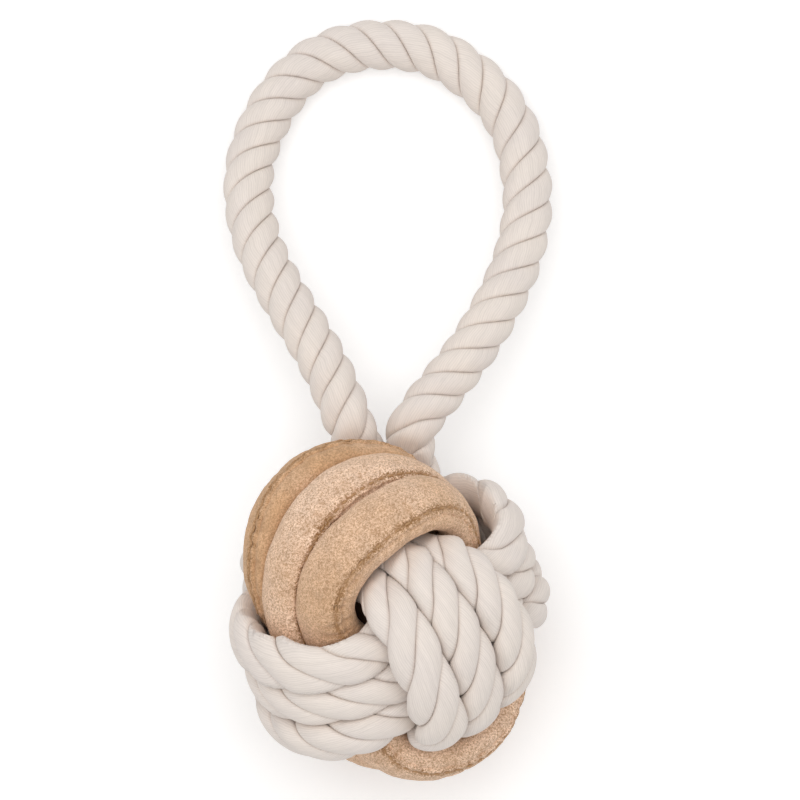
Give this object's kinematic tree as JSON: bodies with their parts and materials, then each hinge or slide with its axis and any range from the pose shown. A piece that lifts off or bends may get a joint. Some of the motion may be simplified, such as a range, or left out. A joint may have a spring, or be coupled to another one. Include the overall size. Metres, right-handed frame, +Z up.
{
  "type": "rope dog toy",
  "caption": "Knotted rope ball with one suede-covered band and a rope loop handle, lying on its side.",
  "frame": {"origin": "on the table, under the middle of the outline", "axes": "+Z up from the table, +Y from the ball towards the bow of the loop handle, +X to the right seen from above with the loop away from the viewer"},
  "size_m": [0.0936, 0.217, 0.0917],
  "materials": {
    "cotton_rope": "natural undyed three-strand cotton rope, matt",
    "suede": "tan suede, short matt nap",
    "seam_thread": "brown sewing thread",
    "filler_cotton": "plain cotton cord",
    "core_rubber": "matt brown rubber"
  },
  "bodies": {
    "ball": {"core_ball": "core_rubber", "suede_sleeve": "suede", "sleeve_filler_cord": "filler_cotton", "sleeve_seam_thread": "seam_thread", "front_rope_winding": "cotton_rope", "side_rope_winding": "cotton_rope", "left_handle_neck": "cotton_rope", "right_handle_neck": "cotton_rope"},
    "handle": {"handle_loop": "cotton_rope"}
  },
  "joints": [
    {"name": "handle_bend", "type": "hinge", "parent": "ball", "child": "handle", "pos_m": [0, -0.00633, 0.03365], "axis": [1, 0, 0], "range_deg": [-40, 60], "deforming": ["left_handle_neck", "right_handle_neck"]}
  ]
}
